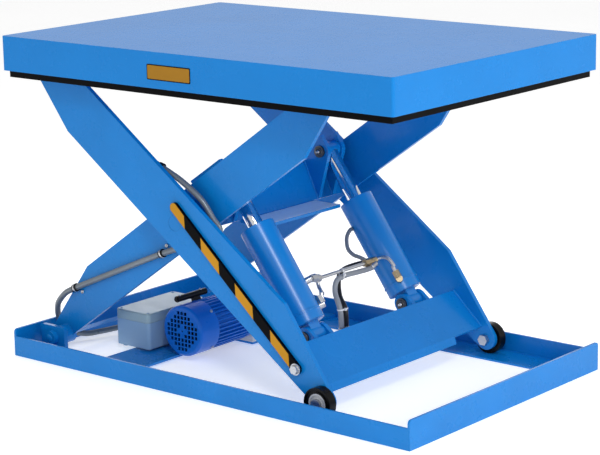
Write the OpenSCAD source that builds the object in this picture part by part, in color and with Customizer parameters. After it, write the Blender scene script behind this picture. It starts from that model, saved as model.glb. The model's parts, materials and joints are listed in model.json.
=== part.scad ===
// Hydraulic scissor lift table with a single pair of crossed arms, twin cylinders and a low power unit.
// Millimetres. Origin at the floor under the middle of the base, +X towards the roller end, -Y the front.

/* [Table] */
// Length of the table top
table_l = 1200; // [1150:10:1210]
// Width of the table top
table_w = 800; // [780:10:900]
// Height of the deck above the floor when raised
raised_h = 820; // [790:5:830]
// Height of the skirt round the deck
skirt_h = 85; // [70:1:100]
// Thickness of the deck plate
deck_t = 6; // [4:0.5:10]
// Thickness of the skirt
skirt_t = 5; // [3:0.5:8]
// Outside radius of the skirt corners
skirt_r = 7; // [6:0.5:20]

/* [Trip frame] */
// Set-back of the trip bars from the skirt face
trip_inset = 12; // [9:0.5:14]
// Width of a trip bar
trip_w = 12; // [8:0.5:14]
// Height of a trip bar, all of it below the skirt
trip_h = 17; // [12:0.5:25]
// Upward travel of the trip frame
trip_travel = 4; // [3:0.5:4.5]

/* [Base] */
// Length of the base frame
base_l = 1250; // [1250:5:1320]
// Width of the base frame
base_w = 766; // [758:2:800]
// Height of the side rails
rail_h = 51; // [40:1:60]
// Thickness of the rail angle
rail_t = 5; // [3:0.5:6]
// Width of the rail's running flange
flange_w = 95; // [85:1:110]
// Height of the end plates
end_h = 70; // [55:1:90]
// Thickness of the end plates
end_t = 6; // [4:0.5:8]
// Radius of the end plates' top corners
end_r = 9; // [4:1:20]
// Thickness of the floor plate under the power unit
floor_t = 6; // [4:0.5:8]

/* [Scissor] */
// Distance of the fixed pivots from the end of the base
pivot_inset = 69; // [65:1:73]
// Least distance of the table pivots from the end of the table
table_pivot_inset = 44; // [40:1:48]
// Distance of the rollers from the middle of the base when raised
roller_x = 338; // [325:1:350]
// Depth of the table pivots under the deck surface
pivot_drop = 62; // [60:0.5:63]
// Thickness of the arm plates
arm_t = 12; // [8:0.5:13]
// Distance of the outer arms' outer faces from the side of the base
arm_inset = 57; // [53:0.5:61]
// Step from the outer arms' outer faces to the inner arms'
arm_step = 60; // [56:0.5:66]
// Distance of the arms' bends from the centre pivot
bend_s = 389; // [370:1:400]
// Height of the outer arms' upper bend above the pivot line
outer_top = 95; // [88:1:100]
// Depth of the outer arms' lower bend under the pivot line
outer_low = 73; // [66:1:78]
// Height of the inner arms' upper bend above the pivot line
inner_top = 94; // [86:1:98]
// Depth of the inner arms' lower bend under the pivot line
inner_low = 75; // [68:1:78]
// Radius of the arms' rounded ends
arm_r = 30; // [27:0.5:32]
// Diameter of the four end pivot pins
pin_d = 20; // [16:0.5:22]
// Diameter of the two centre pins
centre_d = 38; // [30:1:42]
// Thickness of the plates that tie the arms together
tie_t = 8; // [6:0.5:10]

/* [Rollers] */
// Diameter of the lower rollers over the tyre
roller_d = 77; // [70:1:79]
// Width of a roller
roller_w = 23; // [18:0.5:25]
// Diameter of the hub inside the tyre
hub_d = 50; // [40:1:56]
// Diameter of the lower roller axles
axle_d = 18; // [14:0.5:22]
// Diameter of the steel rollers under the deck
upper_roller_d = 32; // [28:0.5:32]
// Diameter of the axles of the rollers under the deck
upper_axle_d = 14; // [10:0.5:15]
// Thickness of an axle's outer head
axle_head = 6; // [4:0.5:8]

/* [Cylinders] */
// Distance of the cylinders from the inner arms' outer faces
cyl_inset = 76; // [74:1:84]
// Outside diameter of a barrel
barrel_d = 86; // [76:1:88]
// Inside diameter of a barrel
bore_d = 70; // [60:1:72]
// Length of a barrel
barrel_l = 262; // [250:1:263]
// Diameter of a piston rod
rod_d = 38; // [30:1:42]
// Distance of the barrel's foot from its pin
foot_gap = 29; // [28:0.5:30]
// Outside radius of the rod and barrel eyes
eye_r = 20; // [17:0.5:20.5]
// Diameter of the cylinder pins
cyl_pin_d = 22; // [16:0.5:24]
// Thickness of the lugs at the cylinder pins
lug_t = 12; // [8:0.5:13]
// Width of the eyes between the lugs
eye_w = 44; // [36:1:46]

/* [Power unit] */
// Outside diameter of the motor's fan cover
motor_d = 130; // [120:1:134]
// Length of the motor's finned frame
motor_l = 149; // [130:1:160]
// Length of the fan cover
cowl_l = 60; // [52:1:70]
// Height of the motor's axis above the floor
motor_z = 79; // [77:1:84]
// Count of the motor's fins
fins = 36; // [24:2:44]
// Pitch of the square holes in the fan cover
grille_pitch = 11.5; // [10.5:0.5:14]
// Side of a square hole in the fan cover
grille_hole = 8.5; // [6:0.5:9.5]
// Length of the control box across the base
box_l = 213; // [190:1:220]
// Width of the control box
box_w = 115; // [100:1:118]
// Height of the control box without its lid
box_h = 68; // [50:1:75]
// Height of the control box lid
lid_h = 24; // [20:1:36]

/* [Service prop] */
// Width of the striped prop bar
prop_w = 24; // [20:1:30]
// Thickness of the prop bar
prop_t = 8; // [5:0.5:10]

/* [Conduit and pipes] */
// Diameter of the grey cable conduit
conduit_d = 15; // [12:0.5:16]
// Diameter of the steel hydraulic pipes
pipe_d = 9; // [6:0.5:10]
// Diameter of the hydraulic hoses
hose_d = 13; // [10:0.5:14]

/* [Clearances] */
// Radial clearance of pins and shafts in their bores
fit = 0.05; // [0.02:0.01:0.09]
// Clearance between parts that pass each other
gap = 0.5; // [0.4:0.1:0.8]
// Clearance under the rollers
roll_gap = 0.3; // [0.3:0.05:0.4]

/* [Hidden] */
$fn = 48;

// Scissor geometry at the raised position
pivot_x = min(base_l / 2 - pivot_inset, table_l / 2 - table_pivot_inset);
pivot_z = rail_t + roll_gap + roller_d / 2;
top_z = raised_h - pivot_drop;
run = roller_x + pivot_x;
rise = top_z - pivot_z;
half = norm([run, rise]) / 2;
tilt = atan2(rise, run);
centre = [(roller_x - pivot_x) / 2, (pivot_z + top_z) / 2];
deck_z = raised_h - deck_t;
skirt_z = raised_h - skirt_h;

// Places along and square to an arm, as [x, z] at the raised position
function on_outer(s, n) = centre + s * [cos(tilt), -sin(tilt)] + n * [sin(tilt), cos(tilt)];
function on_inner(s, n) = centre + s * [cos(tilt), sin(tilt)] + n * [-sin(tilt), cos(tilt)];

// Cylinder pins: the barrel's on the outer arms, the rod's on the inner arms
barrel_s = half - 172.6;
barrel_n = -4;
rod_s = 107;
rod_n = 46.5;
barrel_pin = on_outer(barrel_s, barrel_n);
rod_pin = on_inner(rod_s, rod_n);
cyl_dir = (rod_pin - barrel_pin) / norm(rod_pin - barrel_pin);
cyl_tilt = atan2(cyl_dir[1], cyl_dir[0]);
cyl_len = norm(rod_pin - barrel_pin);
gland_l = 30;
piston_l = 24;
stop_gap = 4.4;
rod_foot = foot_gap + barrel_l - gland_l - piston_l - stop_gap;
collar_t = 4;
lug_y = eye_w / 2 + gap;

// Widths across the machine
outer_y = base_w / 2 - arm_inset;
inner_y = outer_y - arm_step;
cyl_y = inner_y - cyl_inset;
outer_in = outer_y - arm_t;
inner_in = inner_y - arm_t;
pivot_lug_y = outer_in - 2 - lug_t;
boss_r = 24;
centre_boss_r = 34;
washer = 1;

// Plan of the base
rail_in = base_w / 2 - rail_t;
end_in = base_l / 2 - end_t;
floor_z = rail_t + floor_t;
floor_x0 = -400;
floor_x1 = -266;
block_w = 100;
block_l = 60;
block_h = 120;

// Power unit
motor_x = -240;
cowl_y = -172;
frame_y = cowl_y + cowl_l;
block_y = frame_y + motor_l;
cowl_t = 3;
shaft_d = 16;
fin_h = 9;
fin_w = 3;
grille_r = motor_d / 2 - 9;
cap_d = 16;
cap_at = [-268, 154];
box_x = -397;
box_y = -82;
box_r = 10;
box_t = 3;
box_foot = 6;
box_z = floor_z + box_foot;
foot_d = 18;
tank_l = 130;
tank_w = 130;
tank_h = 140;
tank_r = 12;

// Ribs under the deck
rib_h = 20;
rib_t = 6;
rib_y = 70;

// Trip frame
trip_x = table_l / 2 - trip_inset;
trip_y = table_w / 2 - trip_inset;
stud_d = 8;
bracket_t = 3;
bracket_z = skirt_z + trip_travel + gap;
stud_x = 400;

// Outer tie: from its top edge to the fold of its lip, along and above the outer arms' pivot line
tie_s0 = half - 145.6;
tie_n0 = 28;
tie_s1 = half - 28.6;
tie_n1 = 18.5;
lip_w = 20;
lip_fold = 34;
lip_y = 200;

// Inner upper tie, measured on the inner arms: fold and top edge. Between the cylinders a flange runs
// from the fold, level when the table is raised
upper_fold = [24, -44];
upper_top = [48, 57];
flange_l = 86;
flange_y = cyl_y - barrel_d / 2 - 10;
lug_corner = [[20, 63], [20, 87], [134, 78]];
lower_tie = [[-half + 14, -11], [-half + 47, -11], [-half + 47, 32]];

// Tab for the hose unions: its root in the outer tie; level when the table is raised
tab_root = [tie_s0 + 49, tie_n0 - 9];
union_h = 11;
tab_l = 112;
tab_t = 6;
tab_y = -46;
tab_w = 56;
union_at = on_outer(tab_root[0], tab_root[1]) - [tab_l - 14, 0];
union_ys = [tab_y + 9, tab_y - 9];

// Prop bar: its bolt and its free end on the outer arms
prop_foot = [half - 99.1, 5];
prop_top = [-20, 35];
prop_bolt_d = 14;

// Tangent point on a circle, seen from an outside point
function tangent(p, c, r, side) =
    let (d = p - c, a = atan2(d[1], d[0]) + side * acos(r / norm(d)))
    c + r * [cos(a), sin(a)];

// Unit vector and smooth route through hand-set points
function unit(v) = v / norm(v);
function spline_point(a, b, c, d, t) =
    0.5 * (2 * b + (c - a) * t + (2 * a - 5 * b + 4 * c - d) * t * t
        + (3 * b - a - 3 * c + d) * t * t * t);
function route(p, steps) =
    let (n = len(p))
    [for (i = [0:n - 2], k = [0:steps - 1])
        spline_point(p[max(i - 1, 0)], p[i], p[i + 1], p[min(i + 2, n - 1)], k / steps), p[n - 1]];

// Round tube swept along a route, with a carried frame so that it never twists
module tube(points, d, sides = 8) {
    n = len(points);
    dirs = [for (i = [0:n - 1]) unit(points[min(i + 1, n - 1)] - points[max(i - 1, 0)])];
    seed = abs(dirs[0][1]) < 0.9 ? [0, 1, 0] : [1, 0, 0];
    ups = [for (i = 0, u = unit(seed - (seed * dirs[0]) * dirs[0]); i < n;
        i = i + 1, u = i < n ? unit(u - (u * dirs[i]) * dirs[i]) : u) u];
    rings = [for (i = [0:n - 1], k = [0:sides - 1]) let (a = 360 * k / sides)
        points[i] + d / 2 * (cos(a) * ups[i] + sin(a) * cross(dirs[i], ups[i]))];
    walls = [for (i = [0:n - 2], k = [0:sides - 1]) let (a = i * sides, b = (k + 1) % sides)
        each [[a + k, a + sides + k, a + b], [a + b, a + sides + k, a + sides + b]]];
    caps = [for (k = [1:sides - 2])
        each [[0, k, k + 1], [(n - 1) * sides, (n - 1) * sides + k + 1, (n - 1) * sides + k]]];
    polyhedron(rings, concat(walls, caps));
}

// Shared placing
module both_sides() {
    children();
    mirror([0, 1, 0]) children();
}
// A profile in X and Z, extruded from y0 over thickness t
module plate_y(y0, t) {
    translate([0, y0 + t, 0]) rotate([90, 0, 0]) linear_extrude(t) children();
}
// A profile in Y and Z, extruded from x0 over length l
module plate_x(x0, l) {
    translate([x0, 0, 0]) rotate([90, 0, 90]) linear_extrude(l) children();
}
// A cylinder across the machine from y0 over length l, at p = [x, z]
module rod_y(p, y0, l, d) {
    translate([p[0], y0, p[1]]) rotate([-90, 0, 0]) cylinder(d = d, h = l);
}
module on_outer_arm() {
    translate(centre) rotate(-tilt) children();
}
module on_inner_arm() {
    translate(centre) rotate(tilt) children();
}
module rounded(l, w, r) {
    square([l - 2 * r, w], center = true);
    square([l, w - 2 * r], center = true);
    for (x = [-1, 1], y = [-1, 1])
        translate([x * (l / 2 - r), y * (w / 2 - r)]) circle(r);
}
// A flat strip with round ends between two points
module strip(a, b, w) {
    d = unit(b - a);
    q = (w / 2 - 0.05) * [-d[1], d[0]];
    polygon([a + q, a - q, b - q, b + q]);
    translate(a) circle(d = w);
    translate(b) circle(d = w);
}
// A folded sheet of thickness t whose right-hand face runs through a list of points
function left_of(a, b) = let (d = unit(b - a)) [-d[1], d[0]];
function fold_shift(p, i, t) =
    let (n = len(p) - 1,
        q0 = left_of(p[max(i - 1, 0)], p[max(i, 1)]),
        q1 = left_of(p[min(i, n - 1)], p[min(i + 1, n)]))
    t * (q0 + q1) / (1 + q0 * q1);
module folded(points, t) {
    n = len(points) - 1;
    polygon(concat(points, [for (i = [n:-1:0]) points[i] + fold_shift(points, i, t)]));
}

// Base frame
module rail_profile() {
    polygon([[base_w / 2, 0], [base_w / 2, rail_h], [rail_in, rail_h], [rail_in, rail_t],
        [base_w / 2 - flange_w, rail_t], [base_w / 2 - flange_w, 0]]);
}
module base_rail_rear() {
    color("dodgerblue") plate_x(-end_in, 2 * end_in) rail_profile();
}
module base_rail_front() {
    mirror([0, 1, 0]) base_rail_rear();
}
module end_plate(x0) {
    color("dodgerblue") plate_x(x0, end_t) {
        translate([-base_w / 2, 0]) square([base_w, end_h - end_r]);
        translate([-base_w / 2 + end_r, 0]) square([base_w - 2 * end_r, end_h]);
        for (side = [-1, 1])
            translate([side * (base_w / 2 - end_r), end_h - end_r]) circle(end_r);
    }
}
module base_end_plate_fixed() {
    end_plate(-base_l / 2);
}
module base_end_plate_roller() {
    end_plate(end_in);
}
module base_floor_plate() {
    color("dodgerblue") translate([0, 0, rail_t]) linear_extrude(floor_t) {
        translate([floor_x0, -rail_in]) square([floor_x1 - floor_x0, 2 * rail_in]);
        translate([floor_x1 - 1, block_y])
            square([motor_x + block_w / 2 - floor_x1 + 1, rail_in - block_y]);
    }
}
module pivot_lug_profile() {
    x0 = -pivot_x - 44;
    x1 = -pivot_x + 39;
    lug_z = pivot_z + 29;
    difference() {
        union() {
            translate([x0, rail_t]) square([x1 - x0, lug_z - rail_t - 6]);
            translate([x0 + 6, rail_t]) square([x1 - x0 - 12, lug_z - rail_t]);
            for (x = [x0 + 6, x1 - 6]) translate([x, lug_z - 6]) circle(6);
        }
        translate([-pivot_x, pivot_z]) circle(d = pin_d + 2 * fit);
    }
}
module base_pivot_lugs() {
    color("dodgerblue") both_sides() plate_y(pivot_lug_y, lug_t) pivot_lug_profile();
}
module base_pivot_pins() {
    head_y = pivot_lug_y + lug_t;
    color("dodgerblue") both_sides() {
        rod_y([-pivot_x, pivot_z], inner_in - 6, head_y - inner_in + 6, pin_d);
        rod_y([-pivot_x, pivot_z], head_y, 14, pin_d + 16);
    }
}

// Arms
// Web of an arm: straight edges through the bends, running tangent into round ends of two radii
module arm_web(ends, upper, lower, radii) {
    a = ends[0];
    b = ends[1];
    ra = radii[0] - 0.1;
    rb = radii[1] - 0.1;
    n = len(upper) - 1;
    polygon(concat([tangent(upper[0], a, ra, 1)], upper, [tangent(upper[n], b, rb, -1)],
        [for (q = [0.4, -0.4]) b + rb * [0.85, q]], [tangent(lower, b, rb, 1), lower],
        [tangent(lower, a, ra, -1)], [for (q = [-0.4, 0.4]) a + ra * [-0.85, q]]));
}
outer_ends = [[-half + 12, 0], [half, 2]];
outer_radii = [arm_r - 2, arm_r - 2];
outer_bends = [[-bend_s - 29, outer_top - 33], [bend_s - 38, outer_top]];
inner_ends = [[-half - 20, 14], [half, 0]];
inner_radii = [arm_r - 4, upper_roller_d / 2];
inner_bends = [[-bend_s, inner_top], [bend_s + 39, inner_top - 54]];
module outer_arm_rear() {
    color("dodgerblue") difference() {
        union() {
            plate_y(outer_in, arm_t) on_outer_arm()
                arm_web(outer_ends, outer_bends, [-bend_s, -outer_low], outer_radii);
            for (i = [0, 1])
                rod_y(on_outer(outer_ends[i][0], outer_ends[i][1]), outer_in, arm_t, 2 * outer_radii[i]);
        }
        rod_y(centre, outer_in - 1, arm_t + 2, centre_d + 2 * fit);
        rod_y([-pivot_x, top_z], outer_in - 1, arm_t + 2, pin_d + 2 * fit);
        rod_y([roller_x, pivot_z], outer_in - 1, arm_t + 2, axle_d + 2 * fit);
    }
}
module outer_arm_front() {
    mirror([0, 1, 0]) outer_arm_rear();
}
// The inner arm carries turned bosses that space it from the base lug and from the outer arm
module inner_arm_rear() {
    color("dodgerblue") difference() {
        union() {
            plate_y(inner_in, arm_t) on_inner_arm()
                arm_web(inner_ends, inner_bends, [bend_s, -inner_low], inner_radii);
            for (i = [0, 1])
                rod_y(on_inner(inner_ends[i][0], inner_ends[i][1]), inner_in, arm_t, 2 * inner_radii[i]);
            rod_y([-pivot_x, pivot_z], inner_in, pivot_lug_y - gap - inner_in, 2 * boss_r);
            rod_y(centre, inner_in, outer_in - gap - inner_in, 2 * centre_boss_r);
        }
        rod_y(centre, inner_in - 1, outer_in, centre_d + 2 * fit);
        rod_y([-pivot_x, pivot_z], inner_in - 1, outer_in, pin_d + 2 * fit);
        rod_y([roller_x, top_z], inner_in - 1, arm_t + 2, upper_axle_d + 2 * fit);
    }
}
module inner_arm_front() {
    mirror([0, 1, 0]) inner_arm_rear();
}
module centre_pins() {
    color("dodgerblue") both_sides() {
        rod_y(centre, inner_in - gap - 8, outer_y - inner_in + 8, centre_d);
        difference() {
            rod_y(centre, inner_in - gap - 8, 8, centre_d + 9);
            rod_y(centre, inner_in - gap - 9, 10, centre_d - 1);
        }
    }
}
module inner_lower_tie() {
    color("dodgerblue") plate_y(-inner_in, 2 * inner_in) on_inner_arm() folded(lower_tie, tie_t);
}
module inner_upper_tie() {
    edge = upper_fold + flange_l * [cos(tilt), -sin(tilt)];
    color("dodgerblue") {
        plate_y(-inner_in, 2 * inner_in) on_inner_arm() folded([upper_fold, upper_top], tie_t);
        plate_y(-flange_y, 2 * flange_y) on_inner_arm()
            folded([edge, upper_fold, (upper_fold + upper_top) / 2], tie_t);
    }
}
// Plate with a folded lip; a tab under it carries the hose unions
module outer_tie() {
    top = [tie_s0, tie_n0];
    fold = [tie_s1, tie_n1];
    lip = fold + lip_w * [cos(lip_fold), -sin(lip_fold)];
    color("dodgerblue") {
        plate_y(-outer_in, 2 * outer_in) on_outer_arm() folded([fold, top], tie_t);
        plate_y(-outer_in, outer_in + lip_y) on_outer_arm() folded([lip, fold, (fold + top) / 2], tie_t);
        difference() {
            plate_y(tab_y - tab_w / 2, tab_w) on_outer_arm() translate(tab_root) rotate(tilt)
                translate([-tab_l, -tab_t]) square([tab_l, tab_t]);
            for (y = union_ys) translate([union_at[0], y, union_at[1] - 10])
                cylinder(d = hose_d - 2 + 2 * fit, h = 20);
        }
    }
}

// Cylinder lugs and pins
module rod_lug_profile() {
    fold = upper_fold;
    pin = [rod_s, rod_n];
    difference() {
        union() {
            translate(pin) circle(eye_r + 6);
            polygon([fold, tangent(fold, pin, eye_r + 6, 1), pin,
                tangent(lug_corner[2], pin, eye_r + 6, -1), lug_corner[2], lug_corner[1], lug_corner[0],
                upper_top + [1, 5], upper_top]);
        }
        translate(pin) circle(d = cyl_pin_d + 2 * fit);
    }
}
module lug_pairs() {
    for (side = [-1, 1], face = [-lug_y - lug_t, lug_y])
        plate_y(side * cyl_y + face, lug_t) children();
}
module rod_lugs() {
    color("dodgerblue") lug_pairs() on_inner_arm() rod_lug_profile();
}
// Stub pins: each fills its lug and stops at the lug's inner face
module rod_pins() {
    color("dimgray") for (side = [-1, 1], face = [-1, 1])
        translate([0, side * cyl_y, 0]) mirror([0, face < 0 ? 1 : 0, 0]) {
            rod_y(rod_pin, lug_y, lug_t + 2, cyl_pin_d);
            rod_y(rod_pin, lug_y + lug_t, 6, cyl_pin_d + 8);
        }
}
module barrel_lug_profile() {
    slope = (tie_n1 - tie_n0) / (tie_s1 - tie_s0);
    under = tie_n0 - tie_t / cos(atan(slope));
    pin = [barrel_s, barrel_n];
    seat = [tie_s0 + 2, under + 2 * slope];
    heel = [tie_s0 + 84, under + 84 * slope];
    difference() {
        union() {
            translate(pin) circle(eye_r + 4);
            polygon([tangent(seat, pin, eye_r + 4, 1), seat, heel, tangent(heel, pin, eye_r + 4, -1)]);
        }
        translate(pin) circle(d = cyl_pin_d + 2 * fit);
    }
}
module barrel_lugs() {
    color("dodgerblue") lug_pairs() on_outer_arm() barrel_lug_profile();
}
module barrel_pins() {
    color("dimgray") for (side = [-1, 1]) {
        rod_y(barrel_pin, side * cyl_y - lug_y - lug_t, 2 * (lug_y + lug_t), cyl_pin_d);
        for (face = [-lug_y - lug_t - 6, lug_y + lug_t])
            rod_y(barrel_pin, side * cyl_y + face, 6, cyl_pin_d + 8);
    }
}

// Cylinders
module along_cylinder(side, from) {
    translate([barrel_pin[0] + from * cyl_dir[0], side * cyl_y, barrel_pin[1] + from * cyl_dir[1]])
        rotate([0, 90 - cyl_tilt, 0]) children();
}
module eye(p, side) {
    difference() {
        rod_y(p, side * cyl_y - eye_w / 2, eye_w, 2 * eye_r);
        rod_y(p, side * cyl_y - eye_w / 2 - 1, eye_w + 2, cyl_pin_d + 2 * fit);
    }
}
module barrel(side) {
    eye(barrel_pin, side);
    difference() {
        along_cylinder(side, 0) translate([-eye_r + 3, -eye_w / 2 + 4, 0])
            cube([2 * eye_r - 6, eye_w - 8, foot_gap]);
        rod_y(barrel_pin, side * cyl_y - eye_w, 2 * eye_w, 2 * eye_r - 2);
    }
    along_cylinder(side, foot_gap) difference() {
        union() {
            cylinder(d = barrel_d, h = barrel_l);
            translate([0, 0, -1.5]) cylinder(d = barrel_d - 8, h = 2);
            translate([0, 0, 22]) cylinder(d = barrel_d + 3, h = collar_t);
            cylinder(d = rod_d + 6, h = barrel_l + collar_t);
        }
        translate([0, 0, 12]) cylinder(d = bore_d, h = barrel_l - 12 - gland_l);
        translate([0, 0, 12]) cylinder(d = rod_d + 2 * fit, h = barrel_l);
    }
}
module barrel_front() {
    color("dodgerblue") barrel(-1);
}
module barrel_rear() {
    color("dodgerblue") barrel(1);
}
module piston_rod(side) {
    color("gainsboro") {
        difference() {
            along_cylinder(side, rod_foot) cylinder(d = rod_d, h = cyl_len - rod_foot - eye_r / 2);
            rod_y(rod_pin, side * cyl_y - eye_w, 2 * eye_w, 2 * eye_r);
        }
        along_cylinder(side, rod_foot) cylinder(d = bore_d - 2 * fit, h = piston_l);
    }
}
module rod_front() {
    piston_rod(-1);
}
module rod_rear() {
    piston_rod(1);
}
module rod_eyes() {
    color("dodgerblue") for (side = [-1, 1]) eye(rod_pin, side);
}

// Rollers and their axles
module tyre(p, y0) {
    difference() {
        rod_y(p, y0, roller_w, roller_d);
        rod_y(p, y0 - 1, roller_w + 2, hub_d);
        for (face = [-0.1, roller_w - 2.9])
            translate([p[0], y0 + face, p[1]]) rotate([-90, 0, 0]) difference() {
                cylinder(d = roller_d - 8, h = 3);
                translate([0, 0, -1]) cylinder(d = hub_d + 8, h = 5);
            }
    }
}
module hub(p, y0) {
    difference() {
        rod_y(p, y0 + 1, roller_w - 2, hub_d);
        rod_y(p, y0, roller_w + 2, axle_d + 2 * fit);
        for (face = [0, roller_w - 5])
            translate([p[0], y0 + face, p[1]]) rotate([-90, 0, 0]) difference() {
                cylinder(d = hub_d - 8, h = 5);
                translate([0, 0, -1]) cylinder(d = axle_d + 12, h = 7);
            }
    }
}
lower_end = [roller_x, pivot_z];
upper_end = [roller_x, top_z];
lower_face = outer_y + washer;
upper_face = inner_y + washer;
module lower_tyre_rear() {
    color("black") tyre(lower_end, lower_face);
}
module lower_hub_rear() {
    color("silver") hub(lower_end, lower_face);
}
module lower_tyre_front() {
    mirror([0, 1, 0]) lower_tyre_rear();
}
module lower_hub_front() {
    mirror([0, 1, 0]) lower_hub_rear();
}
module upper_roller_rear() {
    color("silver") difference() {
        rod_y(upper_end, upper_face, roller_w, upper_roller_d);
        rod_y(upper_end, upper_face - 1, roller_w + 2, upper_axle_d + 2 * fit);
    }
}
module upper_roller_front() {
    mirror([0, 1, 0]) upper_roller_rear();
}
// Shouldered bolt with a washer against the arm, an outer head and a nut inside
module roller_axle(p, y_in, y_face, d) {
    rod_y(p, y_in - 12, y_face + roller_w + axle_head - y_in + 12, d);
    rod_y(p, y_face + roller_w, axle_head, d + 9);
    rod_y(p, y_face - washer, washer, d + 10);
    translate([p[0], y_in - 12, p[1]]) rotate([-90, 0, 0]) cylinder(d = d + 10, h = 12, $fn = 6);
}
module lower_roller_axles() {
    color("silver") both_sides() roller_axle(lower_end, outer_in, lower_face, axle_d);
}
module upper_roller_axles() {
    color("silver") both_sides() roller_axle(upper_end, inner_in, upper_face, upper_axle_d);
}

// Table
module table_top() {
    color("dodgerblue") {
        difference() {
            translate([0, 0, skirt_z]) linear_extrude(skirt_h) rounded(table_l, table_w, skirt_r);
            translate([0, 0, skirt_z - 1]) linear_extrude(skirt_h - deck_t + 1)
                rounded(table_l - 2 * skirt_t, table_w - 2 * skirt_t, skirt_r - skirt_t);
        }
        for (side = [-1, 1])
            translate([-table_l / 2 + 1, side * rib_y - rib_t / 2, deck_z - rib_h])
                cube([table_l - 2, rib_t, rib_h + 1]);
    }
}
module table_lug_profile() {
    difference() {
        union() {
            translate([-pivot_x, top_z]) circle(pin_d / 2 + 8);
            translate([-pivot_x - pin_d / 2 - 8, top_z]) square([pin_d + 16 + 30, deck_z - top_z]);
        }
        translate([-pivot_x, top_z]) circle(d = pin_d + 2 * fit);
    }
}
table_lug_t = 10;
module table_pivot_lugs() {
    color("dodgerblue") both_sides()
        for (y0 = [outer_in - 2 - table_lug_t, outer_y + 2])
            plate_y(y0, table_lug_t) table_lug_profile();
}
module table_pivot_pins() {
    p = [-pivot_x, top_z];
    y0 = outer_in - 2 - table_lug_t;
    color("silver") both_sides() {
        rod_y(p, y0 - 4, arm_t + 2 * table_lug_t + 12, pin_d);
        rod_y(p, outer_y + 2 + table_lug_t, 4, pin_d + 8);
    }
}
track_w = 26;
track_y = inner_y + 1.5;
track_z = top_z + upper_roller_d / 2 + roll_gap;
module roller_tracks() {
    color("dodgerblue") both_sides()
        plate_x(roller_x - 60, table_l / 2 - skirt_t - roller_x + 60)
            translate([track_y, track_z]) difference() {
                square([track_w, deck_z - track_z]);
                translate([5, 6]) square([track_w - 10, deck_z - track_z]);
            }
}

// Safety trip frame under the skirt, hung on studs
module trip_frame() {
    color("black") translate([0, 0, skirt_z - trip_h]) linear_extrude(trip_h) difference() {
        square([2 * trip_x, 2 * trip_y], center = true);
        square([2 * (trip_x - trip_w), 2 * (trip_y - trip_w)], center = true);
    }
}
trip_points = [for (x = [-stud_x, stud_x], y = [-1, 1]) [x, y * (trip_y - trip_w / 2), y * 90],
    for (x = [-1, 1]) [x * (trip_x - trip_w / 2), 0, x > 0 ? 0 : 180]];
module trip_studs() {
    color("silver") for (p = trip_points) translate([p[0], p[1], skirt_z]) {
        cylinder(d = stud_d, h = bracket_z + bracket_t + roll_gap - skirt_z);
        translate([0, 0, bracket_z + bracket_t + roll_gap - skirt_z]) cylinder(d = stud_d + 6, h = 5);
    }
}
module trip_brackets() {
    color("dodgerblue") for (p = trip_points)
        translate([p[0], p[1], bracket_z]) rotate(p[2]) difference() {
            translate([-14, -20, 0]) cube([14 + trip_w / 2 + trip_inset - skirt_t, 40, bracket_t]);
            translate([0, 0, -1]) cylinder(d = stud_d + 2 * gap, h = bracket_t + 2);
        }
}

// Power unit
module fin_profile() {
    core = motor_d / 2 - fin_h - 1;
    tip = motor_d / 2 - 1;
    polygon([for (i = [0:fins - 1]) let (a = 360 * i / fins, q = fin_w / 2)
        each [for (c = [[core, -q], [tip, -q], [tip, q], [core, q]])
            [c[0] * cos(a) - c[1] * sin(a), c[0] * sin(a) + c[1] * cos(a)]]]);
}
module motor_frame() {
    color("royalblue") translate([motor_x, frame_y, motor_z]) rotate([-90, 0, 0]) difference() {
        union() {
            translate([0, 0, 8]) linear_extrude(motor_l - 20) fin_profile();
            cylinder(d = motor_d - 2 * cowl_t - 2 * fit, h = 8);
            translate([0, 0, motor_l - 12]) cylinder(d = motor_d - 4, h = 12);
        }
        translate([0, 0, -1]) cylinder(d = shaft_d + 2 * fit, h = motor_l + 2);
    }
}
module motor_fan_cover() {
    cells = floor(grille_r / grille_pitch);
    color("royalblue") translate([motor_x, cowl_y, motor_z]) rotate([-90, 0, 0]) {
        linear_extrude(cowl_t) difference() {
            circle(grille_r + 1);
            circle(d = 5);
            for (i = [-cells:cells], k = [-cells:cells])
                let (d = norm([i, k]) * grille_pitch)
                    if (d < grille_r - grille_hole && d > 14)
                        translate([i * grille_pitch, k * grille_pitch]) square(grille_hole, center = true);
        }
        rotate_extrude() difference() {
            union() {
                translate([grille_r, 0]) square([motor_d / 2 - grille_r - 8, cowl_t]);
                translate([motor_d / 2 - 8, 8]) intersection() {
                    circle(8);
                    translate([0, -8]) square(8);
                }
                translate([motor_d / 2 - cowl_t, 8]) square([cowl_t, cowl_l]);
            }
            translate([motor_d / 2 - 8, 8]) intersection() {
                circle(8 - cowl_t);
                translate([0, -8]) square(8);
            }
        }
    }
}
module motor_shaft() {
    color("silver") translate([motor_x, cowl_y + 14, motor_z]) rotate([-90, 0, 0])
        cylinder(d = shaft_d, h = cowl_l - 14 + motor_l + 24);
}
module motor_fan() {
    color("dimgray") translate([motor_x, cowl_y + 18, motor_z]) rotate([-90, 0, 0]) difference() {
        union() {
            cylinder(d = shaft_d + 14, h = 26);
            translate([0, 0, 23]) cylinder(d = motor_d - 34, h = 3);
            for (i = [0:6]) rotate(i * 360 / 7)
                translate([0, -1.5, 0]) cube([motor_d / 2 - 18, 3, 25]);
        }
        translate([0, 0, -1]) cylinder(d = shaft_d + 2 * fit, h = 30);
    }
}
module motor_capacitor() {
    reach = cap_at - [motor_x, motor_z];
    color("black") {
        rod_y(cap_at, cowl_y + 14, 106, cap_d);
        rod_y(cap_at, cowl_y + 10, 4, cap_d - 6);
        translate([motor_x, frame_y + 8, motor_z]) rotate([0, 90 - atan2(reach[1], reach[0]), 0])
            translate([-5, 0, motor_d / 2 - 1]) cube([10, 24, norm(reach) - motor_d / 2]);
    }
}
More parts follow.
